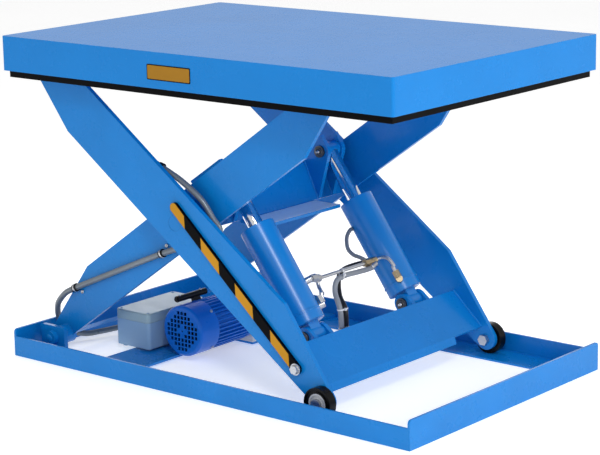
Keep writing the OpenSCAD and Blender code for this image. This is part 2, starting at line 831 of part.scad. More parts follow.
module pump_block() {
    color("silver") difference() {
        translate([motor_x - block_w / 2, block_y, floor_z]) cube([block_w, block_l, block_h]);
        rod_y([motor_x, motor_z], block_y - 1, 26, shaft_d + 2 * fit);
        for (x = [-28, 28])
            translate([motor_x + x, block_y + 32, floor_z + block_h - 14]) cylinder(d = 14, h = 20);
    }
}
module oil_tank() {
    y0 = block_y + block_l;
    color("gainsboro") translate([motor_x, y0 + tank_l, floor_z + tank_h / 2]) rotate([90, 0, 0])
        linear_extrude(tank_l) rounded(tank_w, tank_h, tank_r);
}
module control_box() {
    color("slategray") translate([box_x, box_y, box_z]) {
        difference() {
            linear_extrude(box_h) rounded(box_w, box_l, box_r);
            translate([0, 0, box_t]) linear_extrude(box_h)
                rounded(box_w - 2 * box_t, box_l - 2 * box_t, box_r - box_t);
        }
        for (x = [-1, 1], y = [-1, 1])
            translate([x * (box_w / 2 - foot_d), y * (box_l / 2 - foot_d), -box_foot])
                cylinder(d = foot_d, h = box_foot + 1);
    }
}
module control_box_lid() {
    color("lightgray") translate([box_x, box_y, box_z + box_h]) {
        linear_extrude(lid_h - 2) rounded(box_w, box_l, box_r);
        linear_extrude(lid_h) rounded(box_w - 4, box_l - 4, box_r - 2);
    }
}

// Service prop with its pivot bolt
module service_prop() {
    color("black") plate_y(-outer_y - prop_t, prop_t) on_outer_arm() difference() {
        strip(prop_foot, prop_top, prop_w);
        translate(prop_foot) circle(d = prop_bolt_d + 2 * fit);
    }
}
module prop_bolt() {
    p = on_outer(prop_foot[0], prop_foot[1]);
    color("silver") {
        rod_y(p, -outer_y - prop_t - 2, prop_t + 2, prop_bolt_d);
        rod_y(p, -outer_y - prop_t - 2, 2, prop_bolt_d + 14);
        translate([p[0], -outer_y - prop_t - 9, p[1]]) rotate([-90, 0, 0])
            cylinder(d = prop_bolt_d + 8, h = 7, $fn = 6);
    }
}

// Conduit along the front inner arm, over the centre and up the outer arm, through hand-set places
clip_wall = 3;
conduit_y = -inner_y - conduit_d / 2 - clip_wall - roll_gap;
edge_y = -outer_in + conduit_d / 2 + clip_wall + roll_gap;
function inner_at(s, n, y) = let (p = on_inner(s, n)) [p[0], y, p[1]];
function outer_at(s, n, y) = let (p = on_outer(s, n)) [p[0], y, p[1]];
clip_a = [-451, 69];
clip_b = [-130.5, -18.5];
conduit_mid = [-48.5, -49];
clip_c = [-124, 62];
clip_d = [-198, 40];
block_at = [-298, 15];
box_entry = [box_x - box_w / 2 - gap, -45, 36];
base_route = [box_entry, [-478, -46, 35], [-516, -58, 28], [-545, -92, 21], [-560, -135, 19], [-575, -180, 20],
    [-594, -216, 33], [-603, -238, 58], [-601, -250, 84], [-588, -263, 108],
    inner_at(-532, 75.5, conduit_y + 5), inner_at(-492, 77.5, conduit_y),
    inner_at(clip_a[0] - 7.5, clip_a[1] + 2, conduit_y)];
inner_route = [inner_at(clip_a[0] - 6.5, clip_a[1] + 2, conduit_y),
    inner_at(clip_b[0], clip_b[1], conduit_y), inner_at(conduit_mid[0], conduit_mid[1], conduit_y)];
outer_route = [inner_at(conduit_mid[0] + 0.8, conduit_mid[1] - 0.4, conduit_y),
    inner_at(27, -77, conduit_y), inner_at(70, -73.5, conduit_y - 1),
    outer_at(58, 67, conduit_y - 10), outer_at(9, 82, edge_y + 10), outer_at(-58, 79.5, edge_y + 2),
    outer_at(clip_c[0], clip_c[1], edge_y), outer_at(clip_d[0], clip_d[1], edge_y),
    outer_at(block_at[0], block_at[1], edge_y)];
module conduit_base() {
    color("gray") tube(route(base_route, 3), conduit_d);
}
module conduit_inner() {
    color("gray") tube(route(inner_route, 4), conduit_d);
}
module conduit_outer() {
    color("gray") tube(route(outer_route, 3), conduit_d);
}
module clip_ring(p, angle) {
    translate(p) rotate([0, -angle, 0]) rotate([0, 90, 0]) difference() {
        cylinder(d = conduit_d + 2 * clip_wall, h = 12, center = true);
        cylinder(d = conduit_d + 0.6, h = 14, center = true);
    }
}
module conduit_clips_inner() {
    dir = unit(clip_b - clip_a);
    angle = tilt + atan2(dir[1], dir[0]);
    color("black") for (c = [clip_a, clip_b]) clip_ring(inner_at(c[0], c[1], conduit_y), angle);
}
module conduit_clip_outer() {
    color("black") {
        clip_ring(outer_at(clip_c[0], clip_c[1], edge_y), -tilt + 24);
        clip_ring(outer_at(clip_d[0], clip_d[1], edge_y), -tilt + 16);
        translate(outer_at(block_at[0], block_at[1], -outer_in + roll_gap)) rotate([0, tilt, 0])
            translate([-40, 0, -14]) cube([40, 24, 28]);
    }
}

// Steel pipes, fittings and hoses between the two barrels; ports face the middle, towards the roller end
port_dir = [cyl_dir[1], -cyl_dir[0]];
port_turn = 49.6;
function on_barrel(side, t, off, turn = port_turn) =
    let (p = barrel_pin + t * cyl_dir + off * cos(turn) * port_dir)
    [p[0], side * (cyl_y - off * sin(turn)), p[1]];
low_port = 55;
high_port = 122;
stub_l = 14;
stub_off = barrel_d / 2 + stub_l;
pipe_at = [140, 257];
tee_y = cyl_y - 85;
tee_l = 44;
rear_pipe = [[pipe_at[0], tee_y + tee_l / 2, pipe_at[1]], [152, cyl_y - 54, 264],
    [168, cyl_y - 48, 262], [184, cyl_y - 45, 244],
    on_barrel(1, low_port + 34, stub_off + 3), on_barrel(1, low_port + 12, stub_off - 2),
    on_barrel(1, low_port, stub_off - 6)];
front_pipe = [[pipe_at[0], 90 - cyl_y, pipe_at[1] - 6], [148, 87 - cyl_y, 236], [166, 78 - cyl_y, 226],
    on_barrel(-1, low_port + 30, stub_off + 6), on_barrel(-1, low_port + 10, stub_off),
    on_barrel(-1, low_port, stub_off - 6)];
high_at = on_barrel(-1, high_port, stub_off);
cross_pipe = [high_at, high_at + [0, 14, 0],
    [pipe_at[0], 86 - cyl_y, pipe_at[1]], [pipe_at[0], 0, pipe_at[1]],
    [pipe_at[0], tee_y - tee_l / 2, pipe_at[1]]];
module hydraulic_pipes() {
    color("silver") {
        tube(route(rear_pipe, 3), pipe_d);
        tube(route(front_pipe, 3), pipe_d);
        tube(route(cross_pipe, 3), pipe_d);
    }
}
module port_stub(side, t) {
    translate(on_barrel(side, t, barrel_d / 2 - 1)) rotate([0, 90 - cyl_tilt, 0])
        rotate(-side * port_turn) rotate([0, 90, 0]) cylinder(d = pipe_d + 8, h = stub_l + 1);
}
nut_d = pipe_d + 10;
nut_l = 18;
module nut_y(p, y0) {
    translate([p[0], y0, p[1]]) rotate([-90, 0, 0]) cylinder(d = nut_d, h = nut_l, $fn = 6);
}
module pipe_fittings() {
    color("darkgoldenrod") {
        for (side = [-1, 1]) {
            port_stub(side, low_port);
            translate(on_barrel(side, low_port + 4, stub_off - 4)) rotate([0, 90 - cyl_tilt, 0])
                cylinder(d = nut_d, h = nut_l, $fn = 6);
        }
        port_stub(-1, high_port);
        nut_y([high_at[0], high_at[2]], high_at[1]);
        rod_y(pipe_at, tee_y - tee_l / 2, tee_l, pipe_d + 7);
        for (y = [tee_y - tee_l / 2, tee_y + tee_l / 2 - nut_l]) nut_y(pipe_at, y);
        nut_y(pipe_at, 81 - cyl_y);
    }
}
leak_port = on_barrel(1, 228, barrel_d / 2, 130);
loop_hose = [[pipe_at[0] - 3, 90, pipe_at[1] + 7], [119, 89, 269], [100, 90, 272], [75, 100, 282],
    [55, 121, 303], [48, 143, 317], leak_port];
hose_a = [[pipe_at[0] - 7, 116, pipe_at[1]], [120, 106, 252], [110, 78, 249], [111, 44, 248], [116, 18, 243],
    [127, -4, 224], [145, -21, 196],
    [union_at[0] - 3, union_ys[0], union_at[1] + 55],
    [union_at[0], union_ys[0], union_at[1] + union_h + 0.8]];
hose_b = [[pipe_at[0] + 7, 118, pipe_at[1] - 6], [149, 96, 244], [145, 50, 243], [141, 6, 243],
    [141, -27, 237], [148, -43, 212],
    [union_at[0] - 4, union_ys[1], union_at[1] + 57],
    [union_at[0], union_ys[1], union_at[1] + union_h + 0.8]];
module hydraulic_hoses() {
    color("dimgray") {
        tube(route(loop_hose, 3), hose_d - 3);
        tube(route(hose_a, 3), hose_d);
        tube(route(hose_b, 3), hose_d);
    }
}
module hose_unions() {
    color("silver") for (y = union_ys) translate([union_at[0], y, union_at[1]]) {
        translate([0, 0, -tab_t - 9]) cylinder(d = hose_d - 2, h = tab_t + 15);
        translate([0, 0, -tab_t - 9]) cylinder(d = hose_d + 4, h = 9, $fn = 6);
        cylinder(d = hose_d + 4, h = 9, $fn = 6);
        cylinder(d = hose_d + 2, h = union_h);
    }
}

base_rail_front();
base_rail_rear();
base_end_plate_fixed();
base_end_plate_roller();
base_floor_plate();
base_pivot_lugs();
base_pivot_pins();
motor_frame();
motor_fan_cover();
motor_capacitor();
motor_shaft();
motor_fan();
pump_block();
oil_tank();
control_box();
control_box_lid();
inner_arm_front();
inner_arm_rear();
inner_lower_tie();
inner_upper_tie();
rod_lugs();
rod_pins();
upper_roller_axles();
conduit_clips_inner();
outer_arm_front();
outer_arm_rear();
outer_tie();
barrel_lugs();
barrel_pins();
lower_roller_axles();
centre_pins();
service_prop();
prop_bolt();
conduit_clip_outer();
lower_tyre_front();
lower_hub_front();
lower_tyre_rear();
lower_hub_rear();
upper_roller_front();
upper_roller_rear();
table_top();
table_pivot_lugs();
table_pivot_pins();
roller_tracks();
trip_brackets();
trip_frame();
trip_studs();
barrel_front();
barrel_rear();
rod_front();
rod_rear();
rod_eyes();
hydraulic_pipes();
pipe_fittings();
hydraulic_hoses();
hose_unions();
conduit_base();
conduit_inner();
conduit_outer();
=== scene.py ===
"""Looks of the scissor lift table: finishes, cords, welds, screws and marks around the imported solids."""
import json
import math

import bmesh
import bpy
from mathutils import Matrix, Vector


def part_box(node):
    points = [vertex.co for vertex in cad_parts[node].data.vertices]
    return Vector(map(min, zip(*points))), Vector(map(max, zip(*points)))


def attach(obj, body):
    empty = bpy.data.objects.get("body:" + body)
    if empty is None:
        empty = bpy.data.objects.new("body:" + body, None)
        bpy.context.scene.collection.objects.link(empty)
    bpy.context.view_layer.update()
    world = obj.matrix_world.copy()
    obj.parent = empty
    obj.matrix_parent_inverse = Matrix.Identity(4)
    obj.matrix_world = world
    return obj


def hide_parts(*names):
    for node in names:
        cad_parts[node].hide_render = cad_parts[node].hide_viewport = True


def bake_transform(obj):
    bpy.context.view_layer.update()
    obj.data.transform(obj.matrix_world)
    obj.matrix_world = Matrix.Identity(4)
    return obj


MM = 0.001
IMAGE_W = 600
SENSOR_MM = 36

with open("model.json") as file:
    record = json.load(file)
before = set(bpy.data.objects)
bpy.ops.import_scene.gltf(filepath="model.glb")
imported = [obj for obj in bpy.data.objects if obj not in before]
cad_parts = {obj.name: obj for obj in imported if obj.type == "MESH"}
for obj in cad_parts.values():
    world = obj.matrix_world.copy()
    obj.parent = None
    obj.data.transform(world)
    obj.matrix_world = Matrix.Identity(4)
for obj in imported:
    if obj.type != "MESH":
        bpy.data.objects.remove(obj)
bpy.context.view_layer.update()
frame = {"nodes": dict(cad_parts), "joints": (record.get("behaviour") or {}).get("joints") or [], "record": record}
nodes = frame["nodes"]
joints = {j["name"]: j for j in frame["joints"]}


# Camera, found by fitting the corners of the deck and the base
CAMERA_AT = Vector((3.24016, -3.86874, 1.49832))
CAMERA_AZIMUTH = math.radians(39.90)
CAMERA_ELEVATION = math.radians(12.88)
CAMERA_ROLL = math.radians(-1.01)
FOCAL_PX = 2108.5


def make_camera():
    data = bpy.data.cameras.new("camera")
    data.sensor_fit = "HORIZONTAL"
    data.sensor_width = SENSOR_MM
    data.lens = FOCAL_PX * SENSOR_MM / IMAGE_W
    data.clip_end = 60
    camera = bpy.data.objects.new("camera", data)
    bpy.context.scene.collection.objects.link(camera)
    az, el, roll = CAMERA_AZIMUTH, CAMERA_ELEVATION, CAMERA_ROLL
    back = Vector((math.sin(az) * math.cos(el), -math.cos(az) * math.cos(el), math.sin(el)))
    right = Vector((math.cos(az), math.sin(az), 0))
    up = back.cross(right)
    x = math.cos(roll) * right + math.sin(roll) * up
    y = -math.sin(roll) * right + math.cos(roll) * up
    turn = Matrix((x, y, back)).transposed()
    camera.matrix_world = Matrix.Translation(CAMERA_AT) @ turn.to_4x4()
    bpy.context.scene.camera = camera


make_camera()


# Places on the arms, in millimetres along and square to an arm, as in the solids
PIVOT = Vector(joints["lift"]["pos_m"])
CENTRE = Vector(joints["scissor_centre"]["pos_m"])
TILT = math.atan2(CENTRE.z - PIVOT.z, CENTRE.x - PIVOT.x)
HALF = math.hypot(CENTRE.z - PIVOT.z, CENTRE.x - PIVOT.x) / MM


def arm_point(s, n, y, slope):
    c, d = math.cos(slope), math.sin(slope)
    return Vector((CENTRE.x + MM * (s * c - n * d), MM * y, CENTRE.z + MM * (s * d + n * c)))


def inner_at(s, n, y):
    return arm_point(s, n, y, TILT)


def outer_at(s, n, y):
    return arm_point(s, n, y, -TILT)


def at(x, y, z):
    return Vector((x, y, z)) * MM


ALONG_X, ALONG_Y, UP = Vector((1, 0, 0)), Vector((0, 1, 0)), Vector((0, 0, 1))


# Shader helpers
def shader(name, **values):
    material = bpy.data.materials.new(name)
    material.use_nodes = True
    tree = material.node_tree
    bsdf = tree.nodes["Principled BSDF"]
    for key, value in values.items():
        bsdf.inputs[key.replace("_", " ")].default_value = value
    return material, tree, bsdf


def add(tree, kind, **values):
    node = tree.nodes.new(kind)
    for key, value in values.items():
        if key in node.inputs:
            node.inputs[key].default_value = value
        else:
            setattr(node, key, value)
    return node


def noise(tree, scale, detail=4.0):
    place = add(tree, "ShaderNodeTexCoord")
    texture = add(tree, "ShaderNodeTexNoise", Scale=scale, Detail=detail, Roughness=0.55)
    tree.links.new(place.outputs["Object"], texture.inputs["Vector"])
    return texture.outputs["Fac"]


def ramp(tree, factor, low, high):
    """Two colours, mixed over the middle of a noise's range."""
    node = add(tree, "ShaderNodeValToRGB")
    for stop, position, colour in zip(node.color_ramp.elements, (0.35, 0.65), (low, high)):
        stop.position = position
        stop.color = colour
    tree.links.new(factor, node.inputs["Fac"])
    return node.outputs["Color"]


def remap(tree, value, low, high, start=0.3, end=0.7):
    node = add(tree, "ShaderNodeMapRange")
    node.inputs["From Min"].default_value = start
    node.inputs["From Max"].default_value = end
    node.inputs["To Min"].default_value = low
    node.inputs["To Max"].default_value = high
    tree.links.new(value, node.inputs["Value"])
    return node.outputs["Result"]


EDGE_FROM, EDGE_TO = 0.75, 0.985


def edges(tree, radius):
    """Rounded normal, and how far a point lies on an edge: the rounded normal against the flat one."""
    soft = add(tree, "ShaderNodeBevel", Radius=radius)
    soft.samples = 4
    flat = add(tree, "ShaderNodeNewGeometry")
    dot = add(tree, "ShaderNodeVectorMath", operation="DOT_PRODUCT")
    tree.links.new(soft.outputs["Normal"], dot.inputs[0])
    tree.links.new(flat.outputs["Normal"], dot.inputs[1])
    return soft.outputs["Normal"], remap(tree, dot.outputs["Value"], 1.0, 0.0, EDGE_FROM, EDGE_TO)


def mixed(tree, factor, a, b):
    node = add(tree, "ShaderNodeMix", data_type="RGBA")
    tree.links.new(factor, node.inputs["Factor"])
    for socket, value in ((node.inputs[6], a), (node.inputs[7], b)):
        if isinstance(value, tuple):
            socket.default_value = value
        else:
            tree.links.new(value, socket)
    return node.outputs[2]


def bumped(tree, height, normal, strength, distance):
    node = add(tree, "ShaderNodeBump", Strength=strength, Distance=distance)
    tree.links.new(height, node.inputs["Height"])
    tree.links.new(normal, node.inputs["Normal"])
    return node.outputs["Normal"]


def shade(colour, k):
    return tuple(min(1.0, c * k) for c in colour[:3]) + (1.0,)


# The last scale sets the size of the patches of highlight painted on the edges
CLOUD_SCALE, HIGHLIGHT_PATCH_SCALE, GLOSS_SCALE = 5.0, 60, 22


def surface(name, colour, rough, spread, grain=(420, 0.05, 0.0004), edge_highlight=None, round_mm=1.2, **values):
    """A finish with cloudy colour, uneven gloss, a fine grain and softened edges, with a painted highlight on the
    edges where edge_highlight is given.

    rough is a range of roughness, spread a share of the colour, grain the scale, strength and distance of
    the bumps, and edge_highlight the lighter colour painted in patches on the edges as a highlight.
    """
    material, tree, bsdf = shader(name, **values)
    cloudy = ramp(tree, noise(tree, CLOUD_SCALE), shade(colour, 1 - spread), shade(colour, 1 + spread))
    normal, edge = edges(tree, round_mm * MM)
    # Painted highlight: the edges are lightened in patches towards a lighter colour, standing in for the light
    # they catch
    if edge_highlight:
        patchy = add(tree, "ShaderNodeMath", operation="MULTIPLY")
        tree.links.new(edge, patchy.inputs[0])
        tree.links.new(remap(tree, noise(tree, HIGHLIGHT_PATCH_SCALE), 0.0, 1.0, 0.35, 0.6), patchy.inputs[1])
        cloudy = mixed(tree, patchy.outputs["Value"], cloudy, edge_highlight)
    tree.links.new(cloudy, bsdf.inputs["Base Color"])
    tree.links.new(remap(tree, noise(tree, GLOSS_SCALE), *rough), bsdf.inputs["Roughness"])
    scale, strength, distance = grain
    tree.links.new(bumped(tree, noise(tree, scale, 2), normal, strength, distance), bsdf.inputs["Normal"])
    return material


LINE_DARK, LINE_LIGHT, EDGE_LIGHT = 0.86, 1.1, 1.25


def brushed(name, colour, rough, stretch=(4, 300, 300), front=None):
    """Metal with fine lines: a noise drawn out along one axis. What lies at y < 0 can have another colour."""
    material, tree, bsdf = shader(name, Metallic=1.0)
    place = add(tree, "ShaderNodeTexCoord")
    drawn = add(tree, "ShaderNodeMapping")
    drawn.inputs["Scale"].default_value = stretch
    lines = add(tree, "ShaderNodeTexNoise", Scale=4.0, Detail=3.0)
    tree.links.new(place.outputs["Object"], drawn.inputs["Vector"])
    tree.links.new(drawn.outputs["Vector"], lines.inputs["Vector"])
    fine = lines.outputs["Fac"]
    normal, edge = edges(tree, 0.6 * MM)
    base = ramp(tree, fine, shade(colour, LINE_DARK), shade(colour, LINE_LIGHT))
    bright = shade(colour, EDGE_LIGHT)
    if front:
        split = add(tree, "ShaderNodeSeparateXYZ")
        tree.links.new(place.outputs["Object"], split.inputs["Vector"])
        side = remap(tree, split.outputs["Y"], 0.0, 1.0, -0.01, 0.01)
        front_base = ramp(tree, fine, shade(front, LINE_DARK), shade(front, LINE_LIGHT))
        base = mixed(tree, side, front_base, base)
        bright = mixed(tree, side, shade(front, EDGE_LIGHT), bright)
    tree.links.new(mixed(tree, edge, base, bright), bsdf.inputs["Base Color"])
    tree.links.new(remap(tree, fine, *rough), bsdf.inputs["Roughness"])
    tree.links.new(bumped(tree, fine, normal, 0.05, 0.0002), bsdf.inputs["Normal"])
    return material


# Finishes
STEEL = (0.55, 0.56, 0.58)
BLUE = (0.002, 0.195, 0.58)
# Lighter blue painted on the edges as a highlight
EDGE_HIGHLIGHT_BLUE = (0.05, 0.27, 0.7, 1)
PAINT = dict(Coat_Weight=0.14, Coat_Roughness=0.1, Specular_IOR_Level=0.18)
GLOSS = dict(Coat_Weight=0.7, Coat_Roughness=0.26, Specular_IOR_Level=0.2)
MATT = dict(Specular_IOR_Level=0.2)
finish = {
    "blue_paint": surface("blue_paint", BLUE, (0.24, 0.34), 0.05, edge_highlight=EDGE_HIGHLIGHT_BLUE, **PAINT),
    "deck_paint": surface("deck_paint", BLUE, (0.26, 0.28), 0.03, (420, 0.006, 0.0003), edge_highlight=EDGE_HIGHLIGHT_BLUE,
                          **MATT),
    "tube_paint": surface("tube_paint", BLUE, (0.32, 0.38), 0.04, edge_highlight=EDGE_HIGHLIGHT_BLUE, **GLOSS),
    "motor_paint": surface("motor_paint", (0.004, 0.135, 0.58), (0.26, 0.38), 0.08,
                           edge_highlight=(0.03, 0.2, 0.62, 1), **PAINT),
    "steel": brushed("steel", STEEL, (0.26, 0.42)),
    "pin_steel": brushed("pin_steel", (0.1, 0.105, 0.115), (0.32, 0.48)),
    "chrome": brushed("chrome", (0.86, 0.87, 0.89), (0.06, 0.12), (300, 300, 8)),
    "black_paint": surface("black_paint", (0.0015, 0.0015, 0.002), (0.34, 0.48), 0.25,
                           edge_highlight=(0.012, 0.012, 0.014, 1), Specular_IOR_Level=0.05),
    "tyre": surface("tyre", (0.002, 0.002, 0.0025), (0.25, 0.4), 0.3, (650, 0.08, 0.0005),
                    Specular_IOR_Level=0.15),
    "hub": surface("hub", (0.55, 0.57, 0.6), (0.35, 0.5), 0.08),
    "grey_plastic": surface("grey_plastic", (0.27, 0.44, 0.62), (0.36, 0.48), 0.05, (900, 0.1, 0.0003),
                            round_mm=2.5),
    "lid_plastic": surface("lid_plastic", (0.34, 0.48, 0.53), (0.3, 0.4), 0.04, (900, 0.1, 0.0003),
                           round_mm=3),
    "black_plastic": surface("black_plastic", (0.004, 0.004, 0.005), (0.3, 0.45), 0.2,
                             Specular_IOR_Level=0.25),
    "conduit": surface("conduit", (0.17, 0.2, 0.23), (0.26, 0.4), 0.12, Metallic=0.3),
    "hose": surface("hose", (0.007, 0.007, 0.008), (0.3, 0.45), 0.3, (500, 0.15, 0.0004)),
    "hose_grey": surface("hose_grey", (0.22, 0.24, 0.27), (0.35, 0.5), 0.12, (500, 0.12, 0.0004)),
    "brass": brushed("brass", (0.46, 0.36, 0.22), (0.26, 0.42), front=STEEL),
    "aluminium": brushed("aluminium", (0.6, 0.61, 0.62), (0.32, 0.48)),
    "tank": surface("tank", (0.68, 0.68, 0.65), (0.4, 0.5), 0.05),
    "orange": surface("orange", (0.53, 0.25, 0.014), (0.32, 0.45), 0.06, Specular_IOR_Level=0.1),
    "plate_orange": surface("plate_orange", (0.35, 0.17, 0.015), (0.32, 0.45), 0.06,
                            Specular_IOR_Level=0.1),
    # Near-white finish for the flange strip: a painted reflection
    "painted_reflection_strip": surface("painted_reflection_strip", (0.9, 0.93, 0.96), (0.3, 0.4), 0.03),
    "tie_white": surface("tie_white", (0.7, 0.71, 0.72), (0.4, 0.5), 0.05),
}

# A node has the finish of its slot, apart from three blue ones with a gloss of their own
slot_of = {s["node"]: s["material_slot"] for s in frame["record"]["subparts"]}
SPECIAL = {"table_top": "deck_paint", "barrel_front": "tube_paint", "barrel_rear": "tube_paint"}
for node, piece in nodes.items():
    piece.data.materials.clear()
    piece.data.materials.append(finish[SPECIAL.get(node, slot_of[node])])


# Mesh helpers
def mesh_piece(name, bm, body, look, smooth=True):
    data = bpy.data.meshes.new(name)
    bmesh.ops.recalc_face_normals(bm, faces=bm.faces)
    bm.to_mesh(data)
    bm.free()
    for face in data.polygons:
        face.use_smooth = smooth
    piece = bpy.data.objects.new(name, data)
    bpy.context.scene.collection.objects.link(piece)
    data.materials.append(finish[look])
    if body:
        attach(piece, body)
    return piece


def spline(points, step):
    """Smooth line through given points, in pieces of about one step."""
    line = []
    for i in range(len(points) - 1):
        a, b = points[max(i - 1, 0)], points[i]
        c, d = points[i + 1], points[min(i + 2, len(points) - 1)]
        count = max(1, round((c - b).length / step))
        for k in range(count):
            t = k / count
            line.append(0.5 * (2 * b + (c - a) * t + (2 * a - 5 * b + 4 * c - d) * t ** 2
                               + (3 * b - a - 3 * c + d) * t ** 3))
    return line + [points[-1]]


def skin(bm, rings):
    """Joins rings of points into a closed surface, with a face at each end."""
    sides = len(rings[0])
    for low, high in zip(rings, rings[1:]):
        for k in range(sides):
            bm.faces.new((low[k], low[(k + 1) % sides], high[(k + 1) % sides], high[k]))
    bm.faces.new(rings[0])
    bm.faces.new(rings[-1])


def sweep(bm, line, radius, sides):
    """A closed tube along a line; radius is a function of the length run so far."""
    last = len(line) - 1
    dirs = [(line[min(i + 1, last)] - line[max(i - 1, 0)]).normalized() for i in range(len(line))]
    up = ALONG_Y if abs(dirs[0].y) < 0.9 else ALONG_X
    rings, run = [], 0.0
    for i, p in enumerate(line):
        run += (p - line[i - 1]).length if i else 0
        up = (up - up.dot(dirs[i]) * dirs[i]).normalized()
        side = dirs[i].cross(up)
        turns = [2 * math.pi * k / sides for k in range(sides)]
        rings.append([bm.verts.new(p + radius(run) * (math.cos(a) * up + math.sin(a) * side))
                      for a in turns])
    skin(bm, rings)


def turned(bm, base, axis, profile, sides=24):
    """A turned piece: profile is a list of (radius, height) in millimetres from base along axis."""
    axis = axis.normalized()
    u = axis.orthogonal().normalized()
    v = axis.cross(u)
    rings = []
    for r, h in profile:
        turns = [2 * math.pi * (k + 0.5) / sides for k in range(sides)]
        rings.append([bm.verts.new(base + MM * (h * axis + r * (math.cos(a) * u + math.sin(a) * v)))
                      for a in turns])
    skin(bm, rings)


# Conduit, as a smooth tube on the route of the solids: beside the inner arm, then over the outer arm's edge
CONDUIT_D = 15
CONDUIT_Y = -276.8
EDGE_Y = -303.2
CLIP_A, CLIP_B, CLIP_C, CLIP_D = (-451, 69), (-130.5, -18.5), (-124, 62), (-198, 40)
CONDUIT_MID = (-48.5, -49)
BLOCK_AT = (-298, 15)
base_route = [at(-455, -45, 36), at(-478, -46, 35), at(-516, -58, 28), at(-545, -92, 21),
              at(-560, -135, 19), at(-575, -180, 20), at(-594, -216, 33), at(-603, -238, 58),
              at(-601, -250, 84), at(-588, -263, 108), inner_at(-532, 75.5, CONDUIT_Y + 5),
              inner_at(-492, 77.5, CONDUIT_Y), inner_at(CLIP_A[0] - 7.5, CLIP_A[1] + 2, CONDUIT_Y)]
inner_route = [inner_at(CLIP_A[0] - 6.5, CLIP_A[1] + 2, CONDUIT_Y), inner_at(*CLIP_B, CONDUIT_Y),
               inner_at(*CONDUIT_MID, CONDUIT_Y)]
outer_route = [inner_at(CONDUIT_MID[0] + 0.8, CONDUIT_MID[1] - 0.4, CONDUIT_Y),
               inner_at(27, -77, CONDUIT_Y), inner_at(70, -73.5, CONDUIT_Y - 1),
               outer_at(58, 67, CONDUIT_Y - 10), outer_at(9, 82, EDGE_Y + 10),
               outer_at(-58, 79.5, EDGE_Y + 2), outer_at(*CLIP_C, EDGE_Y), outer_at(*CLIP_D, EDGE_Y),
               outer_at(*BLOCK_AT, EDGE_Y)]


def conduit(name, route, node, body):
    bm = bmesh.new()
    line = spline(route, 5 * MM)
    sweep(bm, line, lambda run: CONDUIT_D / 2 * MM, 20)
    piece = mesh_piece(name, bm, body, "conduit")
    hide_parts(node)
    return piece


lower_conduit = conduit("conduit_lower_tube", base_route, "conduit_base", None)
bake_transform(lower_conduit)
conduit("conduit_arm_tube", inner_route, "conduit_inner", "inner_arms")
upper_conduit = conduit("conduit_upper_tube", outer_route, "conduit_outer", None)
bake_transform(upper_conduit)


# Gland where the conduit enters the control box
gland_bm = bmesh.new()
turned(gland_bm, base_route[0] + at(1, 0, 0), base_route[1] - base_route[0],
       [(13, 0), (13, 9), (11.5, 10), (11.5, 13), (10, 15), (8.4, 26), (7.7, 28)], 6)
mesh_piece("conduit_gland", gland_bm, "base", "black_plastic", smooth=False)


# Hoses on the routes of the solids
HOSE_D = 13
LEAK_D = 10
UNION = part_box("hose_unions")
UNION_X = (UNION[0].x + UNION[1].x) / 2 / MM
UNION_TOP = UNION[1].z / MM
UNION_YS = (-37, -55)
BARREL_PIN = Vector(joints["barrel_pivot"]["pos_m"])
ROD_DIR = Vector(joints["rod_slide"]["axis"])
BARREL_D = 86
CYLINDER_Y = 190


def on_barrel(side, along, off, turn):
    face = Vector((ROD_DIR.z, 0, -ROD_DIR.x))
    p = BARREL_PIN + MM * (along * ROD_DIR + off * math.cos(turn) * face)
    return Vector((p.x, MM * side * (CYLINDER_Y - off * math.sin(turn)), p.z))


loop_hose = [at(137, 90, 264), at(119, 89, 269), at(100, 90, 272), at(75, 100, 282), at(55, 121, 303),
             at(48, 143, 317), on_barrel(1, 228, BARREL_D / 2, math.radians(130))]
hose_a = [at(133, 116, 257), at(120, 106, 252), at(110, 78, 249), at(111, 44, 248), at(116, 18, 243),
          at(127, -4, 224), at(145, -21, 196), at(UNION_X - 3, UNION_YS[0], UNION_TOP + 44),
          at(UNION_X, UNION_YS[0], UNION_TOP + 0.8)]
hose_b = [at(147, 118, 251), at(149, 96, 244), at(145, 50, 243), at(141, 6, 243), at(141, -27, 237),
          at(148, -43, 212), at(UNION_X - 4, UNION_YS[1], UNION_TOP + 46),
          at(UNION_X, UNION_YS[1], UNION_TOP + 0.8)]


def hose(name, route, diameter, look, crossing):
    bm = bmesh.new()
    line = spline(route, 3 * MM)
    sweep(bm, line, lambda run: diameter / 2 * MM, 16)
    piece = mesh_piece(name, bm, None if crossing else "cylinder_barrels", look)
    if crossing:
        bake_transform(piece)
    return piece


leak_tube = hose("leak_hose", loop_hose, LEAK_D, "hose_grey", False)
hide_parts("hydraulic_hoses")
hose("pressure_hose", hose_a, HOSE_D, "hose", True)
hose("return_hose", hose_b, HOSE_D, "hose_grey", True)


def ferrule(name, route, diameter):
    """Crimped sleeve on a hose's upper end, with rolled grooves."""
    axis = route[1] - route[0]
    r = diameter / 2
    grooves = [(r + 1.6 - 0.7 * (k % 2), 2 + 2.2 * k) for k in range(9)]
    bm = bmesh.new()
    turned(bm, route[0], axis, [(r + 0.6, 0), (r + 1.6, 0.8), *grooves, (r + 0.4, 21.5)])
    mesh_piece(name, bm, "cylinder_barrels", "steel")


ferrule("pressure_hose_sleeve", hose_a, HOSE_D)
ferrule("return_hose_sleeve", hose_b, HOSE_D)


TIE_W, TIE_T = 3.6, 1.1
LOCK_SIZE, LOCK_OFF = (6, 5, 6), 2


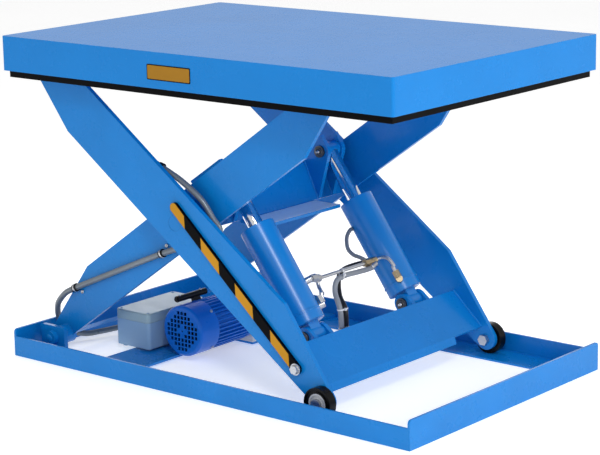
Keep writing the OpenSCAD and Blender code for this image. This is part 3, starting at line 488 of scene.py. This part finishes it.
def cable_tie(name, centre, axis, across, reach, body):
    """Flat band round a pair of cords that lie side by side, with its square lock.

    reach is half the band's inside, across the pair and square to it.
    """
    bm = bmesh.new()
    axis = axis.normalized()
    u = (across - across.dot(axis) * axis).normalized()
    v = axis.cross(u)
    count = 40
    long, short = reach
    rows = []
    for k in range(count):
        a = 2 * math.pi * k / count
        ring = []
        for out, along in ((0, -1), (TIE_T, -1), (TIE_T, 1), (0, 1)):
            x = (long - short) * math.copysign(1, math.cos(a)) + (short + out) * math.cos(a)
            y = (short + out) * math.sin(a)
            ring.append(bm.verts.new(centre + MM * (x * u + y * v + along * TIE_W / 2 * axis)))
        rows.append(ring)
    for k in range(count):
        near, far = rows[k], rows[(k + 1) % count]
        for j in range(4):
            bm.faces.new((near[j], near[(j + 1) % 4], far[(j + 1) % 4], far[j]))
    for vert in bmesh.ops.create_cube(bm, size=1)["verts"]:
        c = vert.co.copy()
        x, y, z = c.x * LOCK_SIZE[0], short + LOCK_OFF + c.y * LOCK_SIZE[1], c.z * LOCK_SIZE[2]
        vert.co = centre + MM * (x * u + y * v + z * axis)
    mesh_piece(name, bm, body, "tie_white", smooth=False)


tie_low = (hose_a[-2] + hose_b[-2]) / 2
tie_high = at(140.6, -8, 248.6)
cable_tie("hose_tie_low", tie_low, hose_a[-1] - hose_a[-2], ALONG_Y, (15.8, 6.8), "outer_arms")
cable_tie("hose_tie_high", tie_high, ALONG_Y, UP, (13.2, 7), "cylinder_barrels")


# Bare orange plate on the front skirt
PLATE_W, PLATE_H, PLATE_T = 135, 36, 0.8
PLATE_AT = at(-43.5, -400, 773)
PLATE_RIM = 2.2
FIELD_PROUD = 0.2


def flat_plate(name, corners, thick, body, look):
    """A thin plate on its back corners, standing out from them by its thickness towards -Y."""
    bm = bmesh.new()
    front = [bm.verts.new(c - Vector((0, thick * MM, 0))) for c in corners]
    back = [bm.verts.new(c) for c in corners]
    bm.faces.new(front)
    bm.faces.new(back[::-1])
    count = len(corners)
    for k in range(count):
        bm.faces.new((front[k], back[k], back[(k + 1) % count], front[(k + 1) % count]))
    mesh_piece(name, bm, body, look, smooth=False)


def rounded_corners(centre, w, h, r):
    steps = 5
    points = []
    for quarter, (sx, sz) in enumerate(((1, 1), (-1, 1), (-1, -1), (1, -1))):
        for k in range(steps + 1):
            a = math.pi / 2 * (quarter + k / steps)
            points.append(centre + MM * Vector((sx * (w / 2 - r) + r * math.cos(a), 0,
                                                sz * (h / 2 - r) + r * math.sin(a))))
    return points


flat_plate("plate_border", rounded_corners(PLATE_AT, PLATE_W, PLATE_H, 3), PLATE_T, "table", "black_paint")
flat_plate("plate_field", rounded_corners(PLATE_AT, PLATE_W - 2 * PLATE_RIM, PLATE_H - 2 * PLATE_RIM, 2),
           PLATE_T + FIELD_PROUD, "table", "plate_orange")

# Pale strip on the level flange of the upper tie: a painted reflection, near-white where the flange would mirror
# the white floor
STRIP_MID, STRIP_SIZE = (-17.5, 0, 381.7), (78, 268, 0.5)
strip_bm = bmesh.new()
for vert in bmesh.ops.create_cube(strip_bm, size=1)["verts"]:
    vert.co = at(*(mid + size * c for mid, size, c in zip(STRIP_MID, STRIP_SIZE, vert.co)))
mesh_piece("flange_painted_reflection", strip_bm, "inner_arms", "painted_reflection_strip", smooth=False)


# Stripes across the prop, and one that follows its round upper end
STRIPE_T = 0.3
STRIPE_EDGES = (-11.5, 10.4)
STRIPES = [(83, 157), (223, 294), (364, 437)]
STRIPE_SLANT = 21
END_STRIPE = 15
PROP_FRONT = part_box("service_prop")[0].y / MM
PROP_FOOT, PROP_TOP = (HALF - 99.1, 5), (-20, 35)


def prop_line(s):
    """Middle of the prop, square to the arm, at a place along the arm."""
    k = (s - PROP_TOP[0]) / (PROP_FOOT[0] - PROP_TOP[0])
    return PROP_TOP[1] + k * (PROP_FOOT[1] - PROP_TOP[1])


def stripe(name, corners):
    places = [outer_at(s, prop_line(s) + n, PROP_FRONT) for s, n in corners]
    flat_plate(name, places, STRIPE_T, "outer_arms", "orange")


low, high = STRIPE_EDGES
for number, (s0, s1) in enumerate(STRIPES, 1):
    stripe(f"prop_stripe_{number}",
           [(s0, high), (s1, high), (s1 + STRIPE_SLANT, low), (s0 + STRIPE_SLANT, low)])
end_turns = [math.radians(100 + 10 * k) for k in range(17)]
end_arc = [(PROP_TOP[0] - low * math.cos(a), -low * math.sin(a)) for a in end_turns]
stripe("prop_stripe_0", [(END_STRIPE, high), *end_arc, (END_STRIPE + STRIPE_SLANT, low)])


# Weld beads: rippled fillets along the seams
RIPPLE_PITCH = 4.2 * MM
BASE_BEAD, TIE_BEAD, LUG_BEAD = 3.5, 4, 3


def weld(name, seams, radius, body):
    bm = bmesh.new()

    def ripple(run):
        return MM * radius * (0.86 + 0.14 * abs(math.sin(math.pi * run / RIPPLE_PITCH)))

    for a, b in seams:
        count = max(2, round((b - a).length / (RIPPLE_PITCH / 4)))
        sweep(bm, [a.lerp(b, k / count) for k in range(count + 1)], ripple, 8)
    mesh_piece(name, bm, body, "blue_paint")


RAIL_IN, END_IN, RAIL_H, FLANGE_IN, FLANGE_T = 378, 619, 51, 290, 5
LUG_X, LUG_Y = (-600, -517), (300, 312)
base_corners = [(sx * END_IN, sy) for sx in (-1, 1) for sy in (-1, 1)]
upright = [(at(x, sy * RAIL_IN, FLANGE_T + 1), at(x, sy * RAIL_IN, RAIL_H)) for x, sy in base_corners]
level = [(at(x, sy * FLANGE_IN, FLANGE_T), at(x, sy * RAIL_IN, FLANGE_T)) for x, sy in base_corners]
weld("base_corner_welds", upright + level, BASE_BEAD, "base")
weld("base_lug_welds", [(at(LUG_X[0], sy * y, FLANGE_T), at(LUG_X[1], sy * y, FLANGE_T))
                        for sy in (-1, 1) for y in LUG_Y], BASE_BEAD, "base")
TIE = [(HALF - 145.6, 28), (HALF - 28.6, 18.5)]
OUTER_IN = 314
weld("outer_tie_welds", [(outer_at(*TIE[0], sy * OUTER_IN), outer_at(*TIE[1], sy * OUTER_IN))
                         for sy in (-1, 1)], TIE_BEAD, "outer_arms")
UPPER_TIE = [(24, -44), (48, 57)]
LOWER_TIE = [(14 - HALF, -11), (47 - HALF, -11), (47 - HALF, 32)]
INNER_IN = 254
weld("inner_tie_welds", [(inner_at(*a, sy * INNER_IN), inner_at(*b, sy * INNER_IN)) for sy in (-1, 1)
                         for tie in (UPPER_TIE, LOWER_TIE) for a, b in zip(tie, tie[1:])],
     TIE_BEAD, "inner_arms")
LUG_FACES = [side * CYLINDER_Y + face for side in (-1, 1) for face in (-34.5, -22.5, 22.5, 34.5)]
weld("rod_lug_welds", [(inner_at(*UPPER_TIE[0], y), inner_at(*UPPER_TIE[1], y)) for y in LUG_FACES],
     LUG_BEAD, "inner_arms")


# Screws and small fittings
def socket_head(bm, base, axis, d, h):
    r = d / 2
    turned(bm, base, axis, [(r, 0), (r, h - 1), (r - 1, h), (r * 0.55, h), (r * 0.5, h - 2.5)], 20)


def screws(name, places, axis, d, h, body, look="steel"):
    bm = bmesh.new()
    for p in places:
        socket_head(bm, p, axis, d, h)
    mesh_piece(name, bm, body, look, smooth=False)


lid_low, lid_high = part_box("control_box_lid")
LID_INSET = 11 * MM
SINK, CAPACITOR_SINK = 0.4, 0.6
screws("lid_screws", [Vector((x, y, lid_high.z - SINK * MM))
                      for x in (lid_low.x + LID_INSET, lid_high.x - LID_INSET)
                      for y in (lid_low.y + LID_INSET, lid_high.y - LID_INSET)],
       UP, 8, 1.6, "base", "grey_plastic")
cover_low, cover_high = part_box("motor_fan_cover")
cover_mid = (cover_low + cover_high) / 2
COVER_R, COVER_INSET = 65, 9
screw_bm = bmesh.new()
for k in range(4):
    a = math.radians(45 + 90 * k)
    out = Vector((math.cos(a), 0, math.sin(a)))
    middle = Vector((cover_mid.x, cover_high.y - COVER_INSET * MM, cover_mid.z))
    foot = middle + (COVER_R - SINK) * MM * out
    socket_head(screw_bm, foot, out, 8, 3.4)
mesh_piece("fan_cover_screws", screw_bm, "base", "steel", smooth=False)
cap_low, cap_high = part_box("motor_capacitor")
CAPACITOR_INSET, CAPACITOR_SCREWS = 8.2, (14, 92)
screws("capacitor_screws", [Vector((cap_low.x + CAPACITOR_INSET * MM, cap_low.y + d * MM,
                                    cap_high.z - CAPACITOR_SINK * MM))
                            for d in CAPACITOR_SCREWS], UP, 7, 2.5, "base")


def nipple(bm, base, axis):
    turned(bm, base, axis, [(4.5, 0), (4.5, 2.5), (2.6, 3), (2.4, 5.5), (3.2, 6.5), (3.0, 8), (1.4, 9.2)], 12)


PIN_FACE = 40.5


def pin_ends(name, node, body):
    """A turned, chamfered end with a grease nipple on each end of the cylinder pins."""
    low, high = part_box(node)
    x, z = (low.x + high.x) / 2, (low.z + high.z) / 2
    ends, nipples = bmesh.new(), bmesh.new()
    for side in (-1, 1):
        for face in (-1, 1):
            base = Vector((x, MM * (side * CYLINDER_Y + face * PIN_FACE), z))
            axis = Vector((0, face, 0))
            turned(ends, base, axis, [(11, -0.5), (11, 1.0), (9.5, 2.0), (7, 2.0), (6, 1.0)], 28)
            nipple(nipples, base + axis * 0.9 * MM, axis)
    mesh_piece(name + "_ends", ends, body, "pin_steel")
    mesh_piece(name + "_nipples", nipples, body, "steel")


pin_ends("barrel_pin", "barrel_pins", "outer_arms")
pin_ends("rod_pin", "rod_pins", "inner_arms")

# Pivot pins of the base: a domed cap on each painted head
pivot_low, pivot_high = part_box("base_pivot_pins")
cap_bm = bmesh.new()
for side, y in ((-1, pivot_low.y), (1, pivot_high.y)):
    turned(cap_bm, Vector((PIVOT.x, y, PIVOT.z)), Vector((0, side, 0)),
           [(10, -0.5), (10, 1.5), (8.5, 3), (5, 4), (1, 4.3)], 24)
mesh_piece("base_pivot_caps", cap_bm, "base", "blue_paint")

# Conduit clips on the inner arm: a steel band round each and a screw beside it
CLIP_BAND = [(10.2, -2.6), (10.9, -2.4), (10.9, 2.4), (10.2, 2.6)]
SCREW_FROM_CLIP = {CLIP_A: (4.4, -16.3), CLIP_B: (16.9, 10.3)}
INNER_FACE_Y = -265.8
clip_dir = inner_at(*CLIP_B, CONDUIT_Y) - inner_at(*CLIP_A, CONDUIT_Y)
band_bm = bmesh.new()
for clip, (ds, dn) in SCREW_FROM_CLIP.items():
    turned(band_bm, inner_at(*clip, CONDUIT_Y), clip_dir, CLIP_BAND, 28)
    socket_head(band_bm, inner_at(clip[0] + ds, clip[1] + dn, INNER_FACE_Y), -ALONG_Y, 10, 3.2)
mesh_piece("conduit_clip_bands", band_bm, "inner_arms", "steel")


# Stage: a pale floor, soft lights and a white studio
FLOOR_HALF = 30
FLOOR_GLOW = 0.42


def floor():
    bm = bmesh.new()
    for sx, sy in ((-1, -1), (1, -1), (1, 1), (-1, 1)):
        bm.verts.new((sx * FLOOR_HALF, sy * FLOOR_HALF, 0))
    bm.faces.new(bm.verts)
    data = bpy.data.meshes.new("floor")
    bm.to_mesh(data)
    bm.free()
    piece = bpy.data.objects.new("floor", data)
    bpy.context.scene.collection.objects.link(piece)
    material, tree, bsdf = shader("floor", Roughness=0.7, Emission_Color=(1, 1, 1, 1),
                                  Emission_Strength=FLOOR_GLOW)
    tree.links.new(ramp(tree, noise(tree, 1.5), (0.94, 0.94, 0.94, 1), (0.96, 0.96, 0.96, 1)),
                   bsdf.inputs["Base Color"])
    data.materials.append(material)


def area_light(name, place, aim, size, watts):
    data = bpy.data.lights.new(name, "AREA")
    data.shape = "RECTANGLE"
    data.size, data.size_y = size
    data.energy = watts
    lamp = bpy.data.objects.new(name, data)
    bpy.context.scene.collection.objects.link(lamp)
    lamp.location = place
    lamp.rotation_euler = (Vector(aim) - Vector(place)).to_track_quat("-Z", "Y").to_euler()
    return lamp


floor()
AIM = (0, 0, 0.4)
area_light("key", (2.6, -2.7, 3.1), AIM, (0.8, 0.8), 48)
area_light("side", (4.2, 0.1, 1.55), AIM, (1.6, 1.0), 44)
area_light("top", (0, 0, 3.5), AIM, (3, 2), 40)
back_strip = area_light("back_strip", (-1.03, 1.23, 0.55), AIM, (1.8, 0.5), 4)
back_strip.visible_camera = False


def studio(wall, ceiling, low, high):
    """White walls that fade into a darker ceiling; low and high are heights on a sphere of radius 1."""
    world = bpy.data.worlds.new("studio")
    bpy.context.scene.world = world
    world.use_nodes = True
    tree = world.node_tree
    place = add(tree, "ShaderNodeTexCoord")
    split = add(tree, "ShaderNodeSeparateXYZ")
    tree.links.new(place.outputs["Generated"], split.inputs["Vector"])
    strength = remap(tree, split.outputs["Z"], wall, ceiling, low, high)
    tree.links.new(strength, tree.nodes["Background"].inputs["Strength"])
    tree.nodes["Background"].inputs["Color"].default_value = (1, 1, 1, 1)


studio(wall=0.7, ceiling=0.45, low=0.42, high=0.77)
bpy.context.scene.view_settings.view_transform = "Standard"
